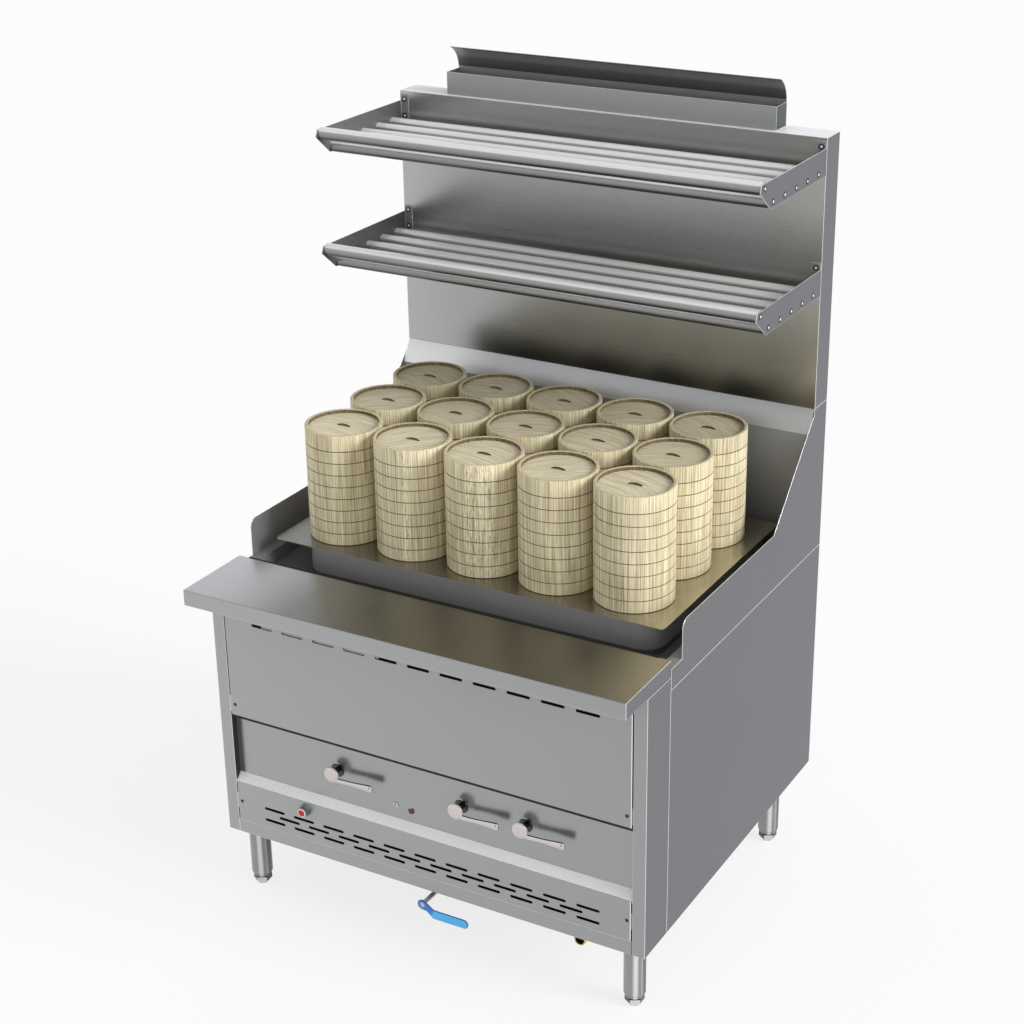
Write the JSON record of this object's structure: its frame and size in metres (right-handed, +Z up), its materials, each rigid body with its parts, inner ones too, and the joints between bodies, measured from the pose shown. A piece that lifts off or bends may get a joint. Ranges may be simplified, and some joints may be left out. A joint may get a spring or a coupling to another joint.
{
  "type": "dumpling steamer",
  "caption": "Gas-heated commercial dumpling steamer: stainless cabinet, steam plate with stacks of bamboo baskets, work shelf, tall backsplash flue and tubular overshelves.",
  "frame": {"origin": "on the floor, under the middle of the overall length and depth", "axes": "+X to the operator's right, +Y to the back, +Z up"},
  "size_m": [1.067, 0.9952, 1.8174],
  "materials": {
    "sheet": "satin brushed",
    "polished_tube": "polished",
    "tray_steel": "satin",
    "tank_steel": "mill",
    "bamboo": "raw bamboo and wood",
    "handle": "cast, polished",
    "cast": "as cast",
    "pipe": "black pipe",
    "brass": "machined",
    "red_plastic": "gloss",
    "bezel": "bright",
    "lamp_lens": "translucent red",
    "blue_lever": "dipped vinyl",
    "dark_screw": "black"
  },
  "bodies": {
    "cabinet": {"base_frame": "sheet", "legs": "polished_tube", "left_corner_post": "sheet", "right_corner_post": "sheet", "left_side_panel": "sheet", "right_side_panel": "sheet", "left_splash_guard": "sheet", "right_splash_guard": "sheet", "back_panel": "sheet", "base_rail": "sheet", "lower_front_panel": "sheet", "control_panel": "sheet", "upper_front_panel": "sheet", "work_shelf": "sheet", "well_deck": "sheet", "rear_wall": "sheet", "water_tank": "tank_steel", "backsplash": "sheet", "flue_box": "sheet", "overshelf_brackets": "sheet", "overshelf_tubes": "polished_tube", "burners": "cast", "gas_manifold": "pipe", "gas_valves": "brass", "gas_inlet": "brass", "button_bezel": "bezel", "indicator_lamp": "lamp_lens", "pilot_sight": "polished_tube", "drain_valve": "brass", "panel_screws": "dark_screw", "bracket_screws": "polished_tube", "fill_spout": "polished_tube"},
    "tray": {"steam_tray": "tray_steel", "front_basket_stacks": "bamboo", "middle_basket_stacks": "bamboo", "back_basket_stacks": "bamboo"},
    "red_button": {"red_button": "red_plastic"},
    "drain_lever": {"drain_lever": "blue_lever"},
    "left_valve_handle": {"left_valve_handle": "handle"},
    "middle_valve_handle": {"middle_valve_handle": "handle"},
    "right_valve_handle": {"right_valve_handle": "handle"},
    "levelling_foot_front_left": {"levelling_foot_front_left": "polished_tube"},
    "levelling_foot_front_right": {"levelling_foot_front_right": "polished_tube"},
    "levelling_foot_back_left": {"levelling_foot_back_left": "polished_tube"},
    "levelling_foot_back_right": {"levelling_foot_back_right": "polished_tube"},
    "lid_01": {"lid_01": "bamboo"},
    "lid_02": {"lid_02": "bamboo"},
    "lid_03": {"lid_03": "bamboo"},
    "lid_04": {"lid_04": "bamboo"},
    "lid_05": {"lid_05": "bamboo"},
    "lid_06": {"lid_06": "bamboo"},
    "lid_07": {"lid_07": "bamboo"},
    "lid_08": {"lid_08": "bamboo"},
    "lid_09": {"lid_09": "bamboo"},
    "lid_10": {"lid_10": "bamboo"},
    "lid_11": {"lid_11": "bamboo"},
    "lid_12": {"lid_12": "bamboo"},
    "lid_13": {"lid_13": "bamboo"},
    "lid_14": {"lid_14": "bamboo"},
    "lid_15": {"lid_15": "bamboo"}
  },
  "joints": [
    {"name": "tray_lift", "type": "slide", "parent": "cabinet", "child": "tray", "axis": [0, 0, 1], "range_m": [0, 0.105]},
    {"name": "lid_01_lift", "type": "slide", "parent": "tray", "child": "lid_01", "axis": [0, 0, 1], "range_m": [0, 0.13]},
    {"name": "lid_02_lift", "type": "slide", "parent": "tray", "child": "lid_02", "axis": [0, 0, 1], "range_m": [0, 0.13]},
    {"name": "lid_03_lift", "type": "slide", "parent": "tray", "child": "lid_03", "axis": [0, 0, 1], "range_m": [0, 0.13]},
    {"name": "lid_04_lift", "type": "slide", "parent": "tray", "child": "lid_04", "axis": [0, 0, 1], "range_m": [0, 0.13]},
    {"name": "lid_05_lift", "type": "slide", "parent": "tray", "child": "lid_05", "axis": [0, 0, 1], "range_m": [0, 0.13]},
    {"name": "lid_06_lift", "type": "slide", "parent": "tray", "child": "lid_06", "axis": [0, 0, 1], "range_m": [0, 0.13]},
    {"name": "lid_07_lift", "type": "slide", "parent": "tray", "child": "lid_07", "axis": [0, 0, 1], "range_m": [0, 0.13]},
    {"name": "lid_08_lift", "type": "slide", "parent": "tray", "child": "lid_08", "axis": [0, 0, 1], "range_m": [0, 0.13]},
    {"name": "lid_09_lift", "type": "slide", "parent": "tray", "child": "lid_09", "axis": [0, 0, 1], "range_m": [0, 0.13]},
    {"name": "lid_10_lift", "type": "slide", "parent": "tray", "child": "lid_10", "axis": [0, 0, 1], "range_m": [0, 0.13]},
    {"name": "lid_11_lift", "type": "slide", "parent": "tray", "child": "lid_11", "axis": [0, 0, 1], "range_m": [0, 0.13]},
    {"name": "lid_12_lift", "type": "slide", "parent": "tray", "child": "lid_12", "axis": [0, 0, 1], "range_m": [0, 0.13]},
    {"name": "lid_13_lift", "type": "slide", "parent": "tray", "child": "lid_13", "axis": [0, 0, 1], "range_m": [0, 0.13]},
    {"name": "lid_14_lift", "type": "slide", "parent": "tray", "child": "lid_14", "axis": [0, 0, 1], "range_m": [0, 0.13]},
    {"name": "lid_15_lift", "type": "slide", "parent": "tray", "child": "lid_15", "axis": [0, 0, 1], "range_m": [0, 0.13]},
    {"name": "left_valve_turn", "type": "hinge", "parent": "cabinet", "child": "left_valve_handle", "pos_m": [-0.2325, -0.40495, 0.389], "axis": [0, 1, 0], "range_deg": [0, 90]},
    {"name": "middle_valve_turn", "type": "hinge", "parent": "cabinet", "child": "middle_valve_handle", "pos_m": [0.0854, -0.40495, 0.389], "axis": [0, 1, 0], "range_deg": [0, 90]},
    {"name": "right_valve_turn", "type": "hinge", "parent": "cabinet", "child": "right_valve_handle", "pos_m": [0.243, -0.40495, 0.389], "axis": [0, 1, 0], "range_deg": [0, 90]},
    {"name": "drain_lever_turn", "type": "hinge", "parent": "cabinet", "child": "drain_lever", "pos_m": [0, -0.40495, 0.132], "axis": [0, 1, 0], "range_deg": [0, 90]},
    {"name": "red_button_press", "type": "slide", "parent": "cabinet", "child": "red_button", "axis": [0, 1, 0], "range_m": [0, 0.005], "stiffness_N_per_m": 600, "springref_m": -0.002},
    {"name": "front_left_foot_screw", "type": "slide", "parent": "cabinet", "child": "levelling_foot_front_left", "axis": [0, 0, -1], "range_m": [0, 0.025]},
    {"name": "front_right_foot_screw", "type": "slide", "parent": "cabinet", "child": "levelling_foot_front_right", "axis": [0, 0, -1], "range_m": [0, 0.025]},
    {"name": "back_left_foot_screw", "type": "slide", "parent": "cabinet", "child": "levelling_foot_back_left", "axis": [0, 0, -1], "range_m": [0, 0.025]},
    {"name": "back_right_foot_screw", "type": "slide", "parent": "cabinet", "child": "levelling_foot_back_right", "axis": [0, 0, -1], "range_m": [0, 0.025]}
  ]
}
